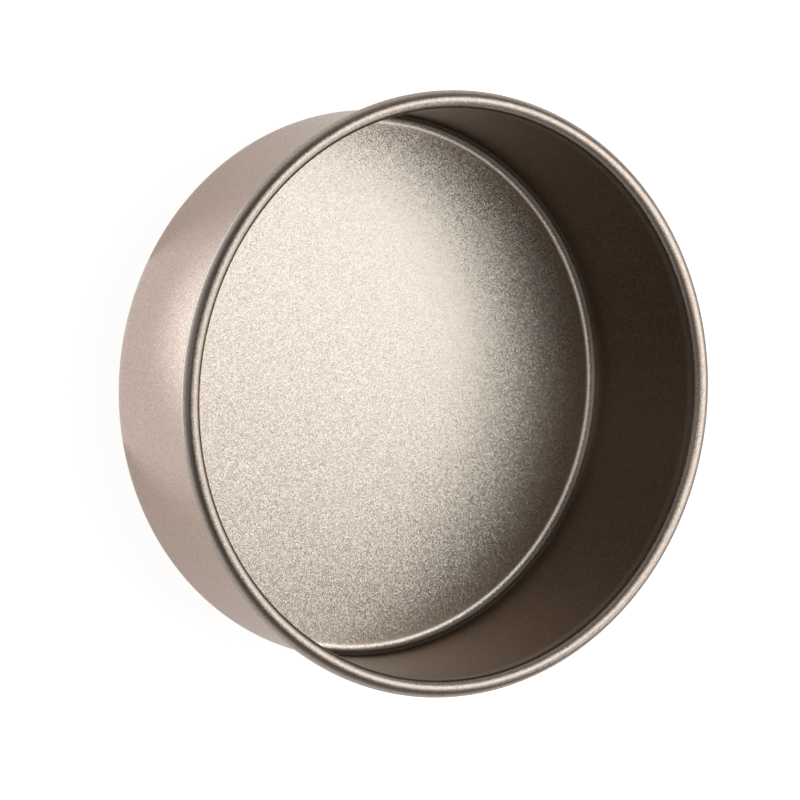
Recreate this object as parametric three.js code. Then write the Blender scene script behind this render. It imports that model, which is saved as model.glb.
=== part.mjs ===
// Round cake pan: a drawn steel shell whose rim is rolled outward round a stiffening wire.
// Millimetres, +Z up. The origin is the centre of the underside, and Z is the axis of every piece.
import * as THREE from 'three';

// Driving dimensions of the pan
const BORE_DIAMETER = 203.2; // inside the straight wall, which is the pan's nominal size
const OVERALL_HEIGHT = 71.0; // table to the crown of the rim
const SHEET_THICKNESS = 0.8;
const BASE_CORNER_RADIUS = 4.0; // inside, where the base turns up into the wall

// Driving dimensions of the wired rim
const WIRE_DIAMETER = 4.2;
const WIRE_CLEARANCE = 0.3; // all round, between the wire and the sheet rolled over it
const TUCK_CLEARANCE = 0.3; // between the edge of the rolled sheet and the wall it tucks against

// Fineness of the facets
const FACETS_AROUND = 72;
const CORNER_STEPS = 6;
const ROLL_STEPS = 18; // over the three quarter turns from the wall to the roll's underside
const TUCK_STEPS = 3;
const WIRE_SIDES = 12;

// Sizes that follow from the driving dimensions
const wallInside = BORE_DIAMETER / 2;
const wallOutside = wallInside + SHEET_THICKNESS;
const rollInside = WIRE_DIAMETER / 2 + WIRE_CLEARANCE;
const rollOutside = rollInside + SHEET_THICKNESS;
const cornerCentre = new THREE.Vector2(wallInside - BASE_CORNER_RADIUS, SHEET_THICKNESS + BASE_CORNER_RADIUS);
const rollCentre = new THREE.Vector2(wallInside + rollOutside, OVERALL_HEIGHT - rollOutside);

// The sheet leaves the wall at the roll's inner side, goes over the top and stops short of the wall again
const UNDER = -Math.PI / 2;
const OUTWARD = 0;
const INWARD = Math.PI;
const tuckAngle = -Math.acos((wallOutside + TUCK_CLEARANCE - rollCentre.x) / rollOutside);

// Points along an arc in the half plane of radius and height, both ends included
function arc(centre, radius, from, to, steps) {
  const clockwise = to < from;
  return new THREE.EllipseCurve(centre.x, centre.y, radius, radius, from, to, clockwise).getPoints(steps);
}

// Turn a section about the pan's axis. The section runs with the material on its left.
function revolve(section) {
  const geometry = new THREE.LatheGeometry(section, FACETS_AROUND);
  geometry.rotateX(Math.PI / 2);
  return geometry;
}

// One face of the rolled sheet, from the wall over the crown to the tucked edge
function roll(radius) {
  const overTheCrown = arc(rollCentre, radius, INWARD, UNDER, ROLL_STEPS);
  const tuck = arc(rollCentre, radius, UNDER, tuckAngle, TUCK_STEPS);
  return [...overTheCrown, ...tuck.slice(1)];
}

// One sheet all the way: underside, wall and inside of the roll, then back over the roll to the base
function panShell() {
  const section = [
    new THREE.Vector2(0, 0),
    ...arc(cornerCentre, BASE_CORNER_RADIUS + SHEET_THICKNESS, UNDER, OUTWARD, CORNER_STEPS),
    ...roll(rollInside),
    ...roll(rollOutside).reverse(),
    ...arc(cornerCentre, BASE_CORNER_RADIUS, OUTWARD, UNDER, CORNER_STEPS),
    new THREE.Vector2(0, SHEET_THICKNESS),
  ];
  const coating = new THREE.MeshStandardMaterial({ color: 0xb3a395, roughness: 0.4, metalness: 1.0 });
  const shell = new THREE.Mesh(revolve(section), coating);
  shell.name = 'pan_shell';
  return shell;
}

// A closed ring of round wire that lies in the roll
function rimWire() {
  const section = arc(rollCentre, WIRE_DIAMETER / 2, -Math.PI, Math.PI, WIRE_SIDES);
  const steel = new THREE.MeshStandardMaterial({ color: 0x9a9c9f, roughness: 0.35, metalness: 1.0 });
  const wire = new THREE.Mesh(revolve(section), steel);
  wire.name = 'rim_wire';
  return wire;
}

const cakePan = new THREE.Group();
cakePan.add(panShell(), rimWire());

export default cakePan;
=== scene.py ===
"""Looks of a round cake pan: one drawn steel sheet, coated champagne, with its rim rolled over a wire.

Metres, +Z up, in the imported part's frame. The origin is the centre of the underside.
"""
import math

import bpy
from mathutils import Matrix, Vector


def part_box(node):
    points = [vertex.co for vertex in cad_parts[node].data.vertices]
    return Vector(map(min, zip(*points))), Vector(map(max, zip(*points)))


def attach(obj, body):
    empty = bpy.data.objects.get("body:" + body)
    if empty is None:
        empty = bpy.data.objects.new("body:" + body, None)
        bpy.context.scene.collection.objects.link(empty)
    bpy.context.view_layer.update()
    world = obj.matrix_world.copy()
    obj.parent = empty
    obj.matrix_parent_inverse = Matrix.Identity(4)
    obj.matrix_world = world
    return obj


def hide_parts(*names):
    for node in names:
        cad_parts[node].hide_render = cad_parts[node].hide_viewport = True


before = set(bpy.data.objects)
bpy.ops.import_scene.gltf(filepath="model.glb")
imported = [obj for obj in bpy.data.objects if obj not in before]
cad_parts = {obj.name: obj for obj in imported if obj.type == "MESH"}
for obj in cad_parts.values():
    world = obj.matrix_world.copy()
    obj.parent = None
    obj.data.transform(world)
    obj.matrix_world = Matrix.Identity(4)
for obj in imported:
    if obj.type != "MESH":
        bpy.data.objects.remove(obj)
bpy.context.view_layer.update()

MM = 0.001

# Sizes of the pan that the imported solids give
shell_low, shell_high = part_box("pan_shell")
wire_low, wire_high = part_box("rim_wire")
RIM_RADIUS = shell_high.x
PAN_HEIGHT = shell_high.z
WIRE_RADIUS = (wire_high.z - wire_low.z) / 2
ROLL_CENTRE = (wire_high.x - WIRE_RADIUS, (wire_high.z + wire_low.z) / 2)
ROLL_RADIUS = RIM_RADIUS - ROLL_CENTRE[0]
WALL_RADIUS = ROLL_CENTRE[0] - ROLL_RADIUS

# Sizes of the sheet that the boxes of the solids can't tell
SHEET_THICKNESS = 0.8 * MM
CORNER_RADIUS = 4.0 * MM
TUCK_CLEARANCE = 0.3 * MM
RAW_EDGE_ROUNDING = 0.15 * MM
RAW_EDGE_ANGLE = 60

# Fineness of the turned meshes
TURN_STEPS = 288
CORNER_STEPS = 14
ROLL_STEPS = 36
TUCK_STEPS = 6
WIRE_SIDES = 20
RAW_EDGE_STEPS = 3
SMOOTH_ANGLE = 40
HOLDING_RING = 1.2 * MM
BASE_RINGS = (12 * MM, 30 * MM, 50 * MM, 75 * MM)
MERGE_DISTANCE = 0.001 * MM

# The coat: champagne inside, a little rosier outside, with metal flakes in it; painted shade darkens the
# rolled rim and the inner wall
INNER_CHAMPAGNE = (0.346, 0.296, 0.253, 1)
OUTER_CHAMPAGNE = (0.392, 0.294, 0.245, 1)
# Darker coat colour for the rolled rim: painted shade
ROLL_PAINTED_SHADE = (0.305, 0.252, 0.215, 1)
# Factor that darkens and browns the inner wall: painted shade
WALL_PAINTED_SHADE = (0.63, 0.52, 0.45)
COAT_EDGE_TINT = (0.86, 0.84, 0.82, 1)
COAT_ROUGHNESS = 0.32
FLAKE_SIZE = 0.30 * MM
FLAKE_TILT = 0.105
FLAKE_SHADE = 0.24
CORNER_ROUGHNESS = 0.27
BENT_TILT = 0.05
ROLL_BLEND = 1.0 * MM
CORNER_BLEND = (1.5 * MM, 0.5 * MM)
CORNER_FADE = 3.0 * MM

# The wire: bright steel with fine draw lines
WIRE_STEEL = (0.60, 0.60, 0.61, 1)
WIRE_ROUGHNESS = (0.22, 0.38)
DRAW_LINE_CONTRAST = (0.3, 0.7)
DRAW_LINE_WIDTH = 0.12 * MM

# The floor and the surroundings. A pair says where a glow's fade starts and ends.
FLOOR_SIZE = 24.0
FLOOR_DROP = 0.2 * MM
FLOOR_ROUGHNESS = 0.9
FLOOR_GLOW = 0.86
FLOOR_PALE = 0.5
SKY_DIM = 0.085
SKY_COLOUR = (0.98, 1.0, 1.0, 1)
SIDE_WALL_GLOW = 0.32
SIDE_WALL_RISE = (0.35, 0.9)
SIDE_WALL_TURN = (0.3, 0.75)
HORIZON_GLOW = 0.8
HORIZON_RISE = (0.05, 0.24)
BEHIND_GLOW = 0.45
BEHIND_TOWARD = (0, -0.85, 0.53)
BEHIND_REACH = (0.88, 0.985)

# Each softbox: its shape, its place, the point that it faces, its size, its colour,
# how bright its face is with no grid on it, and the angle that its grid lets through
PAN_MIDDLE = (0, 0, PAN_HEIGHT / 2)
SOFTBOXES = {
    "wide_softbox": (
        "RECTANGLE", (-0.075, 0.145, 0.613), PAN_MIDDLE, (0.500, 0.730), (0.97, 0.94, 0.90), 1.50, 180),
    "core_softbox": (
        "RECTANGLE", (-0.112, 0.340, 0.680), PAN_MIDDLE, (0.380, 0.430), (0.72, 0.90, 1.0), 1.75, 180),
    "far_fill": (
        "RECTANGLE", (-0.036, 0.540, 0.755), PAN_MIDDLE, (0.9, 0.9), (1.0, 0.95, 0.90), 0.60, 180),
    "far_low_panel": (
        "RECTANGLE", (0, 0.392, 0.294), PAN_MIDDLE, (0.5, 0.22), (0.97, 0.98, 1.0), 2.0, 180),
    "near_low_core": (
        "ELLIPSE", (-0.045, -0.20, 0.005), (-0.045, -0.20, 1), (0.24, 0.16), (0.76, 0.90, 1.0), 1.45, 115),
    "near_low_card": (
        "ELLIPSE", (-0.01, -0.226, 0.004), (-0.01, -0.226, 1), (0.52, 0.26), (0.80, 0.89, 1.0), 0.27, 115),
}


def select_nothing():
    bpy.ops.object.select_all(action="DESELECT")


def arc(centre, radius, start, end, steps):
    """Points of an arc as (radius, height) in the half plane of a section. Angles are in degrees."""
    points = []
    for i in range(steps + 1):
        angle = math.radians(start + (end - start) * i / steps)
        points.append((centre[0] + radius * math.cos(angle), centre[1] + radius * math.sin(angle)))
    return points


def draw_section(name, points):
    """A chain of edges through the points, drawn on the plane that holds the pan's axis."""
    select_nothing()
    bpy.ops.mesh.primitive_plane_add(size=RIM_RADIUS)
    piece = bpy.context.object
    piece.name = name
    piece.data.name = name
    bpy.ops.object.mode_set(mode="EDIT")
    bpy.ops.mesh.select_all(action="SELECT")
    bpy.ops.mesh.merge(type="CENTER")
    bpy.ops.transform.translate(value=(points[0][0], 0, points[0][1]))
    for (r0, z0), (r1, z1) in zip(points, points[1:]):
        bpy.ops.mesh.extrude_region_move(TRANSFORM_OT_translate={"value": (r1 - r0, 0, z1 - z0)})
    bpy.ops.object.mode_set(mode="OBJECT")
    return piece


def turn_about_axis():
    """Spins the section a full turn about the pan's axis and closes the seam and the poles."""
    bpy.ops.object.mode_set(mode="EDIT")
    bpy.ops.mesh.select_all(action="SELECT")
    bpy.ops.mesh.spin(steps=TURN_STEPS, angle=math.tau, center=(0, 0, 0), axis=(0, 0, 1))
    bpy.ops.mesh.select_all(action="SELECT")
    bpy.ops.mesh.remove_doubles(threshold=MERGE_DISTANCE)
    bpy.ops.mesh.normals_make_consistent(inside=False)
    bpy.ops.object.mode_set(mode="OBJECT")


def face_base_up(piece):
    """Turns the faces so that the flat of the base looks up into the pan."""
    middle = min(piece.data.polygons, key=lambda face: face.center.xy.length)
    if middle.normal.z < 0:
        bpy.ops.object.mode_set(mode="EDIT")
        bpy.ops.mesh.select_all(action="SELECT")
        bpy.ops.mesh.flip_normals()
        bpy.ops.object.mode_set(mode="OBJECT")


def inner_face_section():
    """The sheet's upper face: base, coved corner, wall, and over the roll to its tucked edge."""
    corner_centre = (WALL_RADIUS - CORNER_RADIUS, SHEET_THICKNESS + CORNER_RADIUS)
    wall_outside = WALL_RADIUS + SHEET_THICKNESS
    tuck = -math.degrees(math.acos((wall_outside + TUCK_CLEARANCE - ROLL_CENTRE[0]) / ROLL_RADIUS))
    return [
        (0, SHEET_THICKNESS),
        *[(radius, SHEET_THICKNESS) for radius in BASE_RINGS],
        (corner_centre[0] - HOLDING_RING, SHEET_THICKNESS),
        *arc(corner_centre, CORNER_RADIUS, -90, 0, CORNER_STEPS),
        (WALL_RADIUS, corner_centre[1] + HOLDING_RING),
        (WALL_RADIUS, (corner_centre[1] + ROLL_CENTRE[1]) / 2),
        (WALL_RADIUS, ROLL_CENTRE[1] - HOLDING_RING),
        *arc(ROLL_CENTRE, ROLL_RADIUS, 180, -90, ROLL_STEPS),
        *arc(ROLL_CENTRE, ROLL_RADIUS, -90, tuck, TUCK_STEPS)[1:],
    ]


def apply_modifier(piece, kind, **settings):
    modifier = piece.modifiers.new(kind.lower(), kind)
    for name, value in settings.items():
        setattr(modifier, name, value)
    bpy.ops.object.modifier_apply(modifier=modifier.name)


def coated_shell():
    """The drawn sheet: turned from its section, given its thickness, with its raw edge broken."""
    piece = draw_section("coated_shell", inner_face_section())
    turn_about_axis()
    face_base_up(piece)
    apply_modifier(piece, "SOLIDIFY", thickness=SHEET_THICKNESS, offset=-1, use_even_offset=True,
                   use_quality_normals=True)
    apply_modifier(piece, "BEVEL", width=RAW_EDGE_ROUNDING, segments=RAW_EDGE_STEPS, limit_method="ANGLE",
                   angle_limit=math.radians(RAW_EDGE_ANGLE))
    bpy.ops.object.shade_smooth_by_angle(angle=math.radians(SMOOTH_ANGLE))
    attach(piece, "root")
    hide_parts("pan_shell")
    return piece


def drawn_wire_ring():
    """The stiffening wire that lies in the roll."""
    piece = draw_section("drawn_wire_ring", arc(ROLL_CENTRE, WIRE_RADIUS, 0, 360, WIRE_SIDES))
    turn_about_axis()
    bpy.ops.object.shade_smooth()
    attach(piece, "root")
    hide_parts("rim_wire")
    return piece


def plug(tree, socket, value):
    """Sets a socket to a plain value, or links another node's socket to it."""
    if isinstance(value, bpy.types.NodeSocket):
        tree.links.new(value, socket)
    else:
        socket.default_value = value


def math_step(tree, operation, *values):
    node = tree.nodes.new("ShaderNodeMath")
    node.operation = operation
    for socket, value in zip(node.inputs, values):
        plug(tree, socket, value)
    return node.outputs[0]


def vector_step(tree, operation, *values):
    node = tree.nodes.new("ShaderNodeVectorMath")
    node.operation = operation
    for socket, value in zip(node.inputs, values):
        plug(tree, socket, value)
    return node.outputs["Value" if operation in ("DOT_PRODUCT", "LENGTH") else "Vector"]


def ramp_step(tree, value, start, end, low, high):
    """A smooth step: low before start, high after end."""
    node = tree.nodes.new("ShaderNodeMapRange")
    node.interpolation_type = "SMOOTHSTEP"
    limits = {"Value": value, "From Min": start, "From Max": end, "To Min": low, "To Max": high}
    for name, amount in limits.items():
        plug(tree, node.inputs[name], amount)
    return node.outputs["Result"]


def new_group(name, inputs, outputs):
    """An empty node group with the given sockets, and its two end nodes."""
    group = bpy.data.node_groups.new(name, "ShaderNodeTree")
    for direction, sockets in (("INPUT", inputs), ("OUTPUT", outputs)):
        for label, kind in sockets.items():
            group.interface.new_socket(label, in_out=direction, socket_type=kind)
    return group, group.nodes.new("NodeGroupInput"), group.nodes.new("NodeGroupOutput")


def flake_grain_group():
    """Metal flakes in a coat: each leans its own way and has its own shade."""
    group, given, result = new_group(
        "flake_grain",
        {"Vector": "NodeSocketVector", "Flake Size": "NodeSocketFloat", "Tilt": "NodeSocketFloat",
         "Shade Range": "NodeSocketFloat"},
        {"Shade": "NodeSocketFloat", "Normal": "NodeSocketVector"},
    )
    flakes = group.nodes.new("ShaderNodeTexVoronoi")
    plug(group, flakes.inputs["Vector"], given.outputs["Vector"])
    plug(group, flakes.inputs["Scale"], math_step(group, "DIVIDE", 1.0, given.outputs["Flake Size"]))
    way = vector_step(group, "SUBTRACT", flakes.outputs["Color"], (0.5, 0.5, 0.5))
    tilt = group.nodes.new("ShaderNodeVectorMath")
    tilt.operation = "SCALE"
    plug(group, tilt.inputs[0], way)
    plug(group, tilt.inputs["Scale"], math_step(group, "MULTIPLY", given.outputs["Tilt"], 2.0))
    surface = group.nodes.new("ShaderNodeNewGeometry").outputs["Normal"]
    tilted = vector_step(group, "ADD", surface, tilt.outputs["Vector"])
    plug(group, result.inputs["Normal"], vector_step(group, "NORMALIZE", tilted))
    channels = group.nodes.new("ShaderNodeSeparateColor")
    plug(group, channels.inputs["Color"], flakes.outputs["Color"])
    swing = math_step(group, "MULTIPLY", given.outputs["Shade Range"], 2.0)
    offset = math_step(group, "MULTIPLY", math_step(group, "SUBTRACT", channels.outputs["Green"], 0.5), swing)
    plug(group, result.inputs["Shade"], math_step(group, "ADD", offset, 1.0))
    return group


def new_material(name):
    material = bpy.data.materials.new(name)
    material.use_nodes = True
    return material, material.node_tree, material.node_tree.nodes["Principled BSDF"]


def place_group(tree, group, **values):
    node = tree.nodes.new("ShaderNodeGroup")
    node.node_tree = group
    for name, value in values.items():
        plug(tree, node.inputs[name.replace("_", " ")], value)
    return node


def radius_and_height(tree):
    """Object coordinates, with the distance from the pan's axis and the height above its underside."""
    place = tree.nodes.new("ShaderNodeTexCoord").outputs["Object"]
    axes = tree.nodes.new("ShaderNodeSeparateXYZ")
    plug(tree, axes.inputs[0], place)
    radius = vector_step(tree, "LENGTH", vector_step(tree, "MULTIPLY", place, (1, 1, 0)))
    return place, radius, axes.outputs["Z"]


def mix_colours(tree, share, first, second):
    node = tree.nodes.new("ShaderNodeMixRGB")
    for socket, value in zip(node.inputs, (share, first, second)):
        plug(tree, socket, value)
    return node.outputs[0]


def where_bent(tree, radius, height):
    """Two masks: the roll and the coved corner."""
    roll_foot = ROLL_CENTRE[1] - ROLL_RADIUS
    roll = ramp_step(tree, height, roll_foot - ROLL_BLEND, roll_foot + ROLL_BLEND, 0.0, 1.0)
    corner_start = WALL_RADIUS - CORNER_RADIUS
    corner_top = SHEET_THICKNESS + CORNER_RADIUS
    before, after = CORNER_BLEND
    beyond = ramp_step(tree, radius, corner_start - before, corner_start + after, 0.0, 1.0)
    low = ramp_step(tree, height, corner_top, corner_top + CORNER_FADE, 1.0, 0.0)
    return roll, math_step(tree, "MULTIPLY", beyond, low)


def champagne_coating(flake_grain):
    """Satin champagne metallic coat with flakes, rosier outside; painted shade darkens the inner wall and
    roll.
    """
    material, tree, shader = new_material("champagne_coating")
    place, radius, height = radius_and_height(tree)
    outside = math_step(tree, "GREATER_THAN", radius, WALL_RADIUS + SHEET_THICKNESS / 2)
    below_roll = ramp_step(tree, height, ROLL_CENTRE[1] - ROLL_RADIUS, ROLL_CENTRE[1], 1.0, 0.0)
    under = math_step(tree, "LESS_THAN", height, SHEET_THICKNESS / 2)
    wall_foot = SHEET_THICKNESS + CORNER_RADIUS / 2
    up_wall = ramp_step(tree, height, wall_foot, wall_foot + 1.5 * CORNER_RADIUS, 0.0, 1.0)
    # Painted shade: the inner wall, between the coved corner and the roll, is darker and browner than the
    # base
    drawn = math_step(tree, "MULTIPLY", up_wall, below_roll)
    painted_wall_shade = [*(colour * shade for colour, shade in zip(INNER_CHAMPAGNE, WALL_PAINTED_SHADE)), 1]
    inside = mix_colours(tree, drawn, INNER_CHAMPAGNE, painted_wall_shade)
    tint = mix_colours(tree, math_step(tree, "MAXIMUM", outside, under), inside, OUTER_CHAMPAGNE)
    roll, corner = where_bent(tree, radius, height)
    # Painted shade: the rolled rim takes a darker coat colour
    tint = mix_colours(tree, roll, tint, ROLL_PAINTED_SHADE)
    bent = math_step(tree, "MAXIMUM", roll, corner)
    tilt = ramp_step(tree, bent, 0.0, 1.0, FLAKE_TILT, BENT_TILT)
    grain = place_group(tree, flake_grain, Vector=place, Flake_Size=FLAKE_SIZE, Tilt=tilt,
                        Shade_Range=FLAKE_SHADE)
    plug(tree, shader.inputs["Base Color"], vector_step(tree, "MULTIPLY", tint, grain.outputs["Shade"]))
    plug(tree, shader.inputs["Normal"], grain.outputs["Normal"])
    shader.inputs["Metallic"].default_value = 1.0
    gloss = ramp_step(tree, corner, 0.0, 1.0, COAT_ROUGHNESS, CORNER_ROUGHNESS)
    plug(tree, shader.inputs["Roughness"], gloss)
    shader.inputs["Specular Tint"].default_value = COAT_EDGE_TINT
    return material


def drawn_steel():
    """Bright wire with fine draw lines along it."""
    material, tree, shader = new_material("drawn_steel")
    place, radius, height = radius_and_height(tree)
    across = tree.nodes.new("ShaderNodeCombineXYZ")
    plug(tree, across.inputs["X"], radius)
    plug(tree, across.inputs["Y"], height)
    lines = tree.nodes.new("ShaderNodeTexNoise")
    lines.inputs["Scale"].default_value = 1 / DRAW_LINE_WIDTH
    plug(tree, lines.inputs["Vector"], across.outputs[0])
    gloss = ramp_step(tree, lines.outputs["Fac"], *DRAW_LINE_CONTRAST, *WIRE_ROUGHNESS)
    plug(tree, shader.inputs["Roughness"], gloss)
    shader.inputs["Base Color"].default_value = WIRE_STEEL
    shader.inputs["Metallic"].default_value = 1.0
    return material


def photo_camera():
    """The photograph's view: from above the pan's near side, with the camera turned on its side."""
    from_axis = math.radians(29.70)
    roll = math.radians(-97.12)
    distance = 10.25 * RIM_RADIUS
    aside = 0.0402 * RIM_RADIUS
    below = 0.0333 * RIM_RADIUS
    focal_pixels = 3037.3
    image_pixels = 800
    toward = Vector((0, -math.sin(from_axis), math.cos(from_axis)))
    level = Vector((1, 0, 0))
    upright = toward.cross(level)
    across = math.cos(roll) * level - math.sin(roll) * upright
    up = math.sin(roll) * level + math.cos(roll) * upright
    place = Matrix((across, up, toward)).transposed().to_4x4()
    place.translation = Vector((0, 0, PAN_HEIGHT / 2)) + toward * distance - across * aside - up * below
    eye = bpy.data.cameras.new("photo_camera")
    eye.sensor_width = 36
    eye.lens = focal_pixels / image_pixels * eye.sensor_width
    holder = bpy.data.objects.new("photo_camera", eye)
    holder.matrix_world = place
    bpy.context.scene.collection.objects.link(holder)
    bpy.context.scene.camera = holder


def pale_floor():
    """White sweep: it glows white to the eye and in the metal, and keeps the pan's soft shadow."""
    select_nothing()
    bpy.ops.mesh.primitive_plane_add(size=FLOOR_SIZE, location=(0, 0, -FLOOR_DROP))
    piece = bpy.context.object
    piece.name = "pale_floor"
    material, tree, shader = new_material("pale_floor")
    shader.inputs["Base Color"].default_value = (FLOOR_PALE, FLOOR_PALE, FLOOR_PALE, 1)
    shader.inputs["Roughness"].default_value = FLOOR_ROUGHNESS
    shader.inputs["Specular IOR Level"].default_value = 0.0
    ray = tree.nodes.new("ShaderNodeLightPath").outputs
    seen = math_step(tree, "MAXIMUM", ray["Is Camera Ray"], ray["Is Glossy Ray"])
    seen = math_step(tree, "MAXIMUM", seen, ray["Is Transmission Ray"])
    shader.inputs["Emission Color"].default_value = (1, 1, 1, 1)
    plug(tree, shader.inputs["Emission Strength"], math_step(tree, "MULTIPLY", seen, FLOOR_GLOW))
    piece.data.materials.append(material)
    return piece


def studio_world():
    """Dim surroundings: a pale horizon, pale walls to the left and right, and a faint glow behind the eye."""
    world = bpy.data.worlds.new("studio")
    world.use_nodes = True
    tree = world.node_tree
    direction = tree.nodes.new("ShaderNodeTexCoord").outputs["Generated"]
    axes = tree.nodes.new("ShaderNodeSeparateXYZ")
    plug(tree, axes.inputs[0], direction)
    rise = axes.outputs["Z"]
    wall = ramp_step(tree, rise, *SIDE_WALL_RISE, SIDE_WALL_GLOW, 0.0)
    foot = ramp_step(tree, rise, *HORIZON_RISE, HORIZON_GLOW, 0.0)
    aside = ramp_step(tree, math_step(tree, "ABSOLUTE", axes.outputs["X"]), *SIDE_WALL_TURN, 0.0, 1.0)
    sides = math_step(tree, "ADD", math_step(tree, "MULTIPLY", wall, aside), foot)
    backward = vector_step(tree, "DOT_PRODUCT", direction, BEHIND_TOWARD)
    behind = ramp_step(tree, backward, *BEHIND_REACH, 0.0, BEHIND_GLOW)
    glow = math_step(tree, "ADD", math_step(tree, "ADD", sides, behind), SKY_DIM)
    plug(tree, tree.nodes["Background"].inputs["Strength"], glow)
    tree.nodes["Background"].inputs["Color"].default_value = SKY_COLOUR
    bpy.context.scene.world = world


def softbox(name, shape, place, aim, size, colour, radiance, grid):
    """A soft lamp that faces a point. Its power follows from how bright its face is to look at."""
    lamp = bpy.data.lights.new(name, "AREA")
    lamp.shape = shape
    lamp.size, lamp.size_y = size
    lamp.color = colour
    area = size[0] * size[1] * (math.pi / 4 if shape == "ELLIPSE" else 1)
    lamp.energy = math.pi * radiance * area
    lamp.spread = math.radians(grid)
    holder = bpy.data.objects.new(name, lamp)
    holder.location = place
    holder.rotation_euler = (Vector(place) - Vector(aim)).to_track_quat("Z", "Y").to_euler()
    holder.visible_camera = False
    bpy.context.scene.collection.objects.link(holder)


photo_camera()
pale_floor()
studio_world()
for box_name, settings in SOFTBOXES.items():
    softbox(box_name, *settings)
shell = coated_shell()
coat = champagne_coating(flake_grain_group())
shell.data.materials.append(coat)
wire = drawn_wire_ring()
wire.data.materials.append(drawn_steel())
bpy.context.scene.view_settings.view_transform = "Standard"
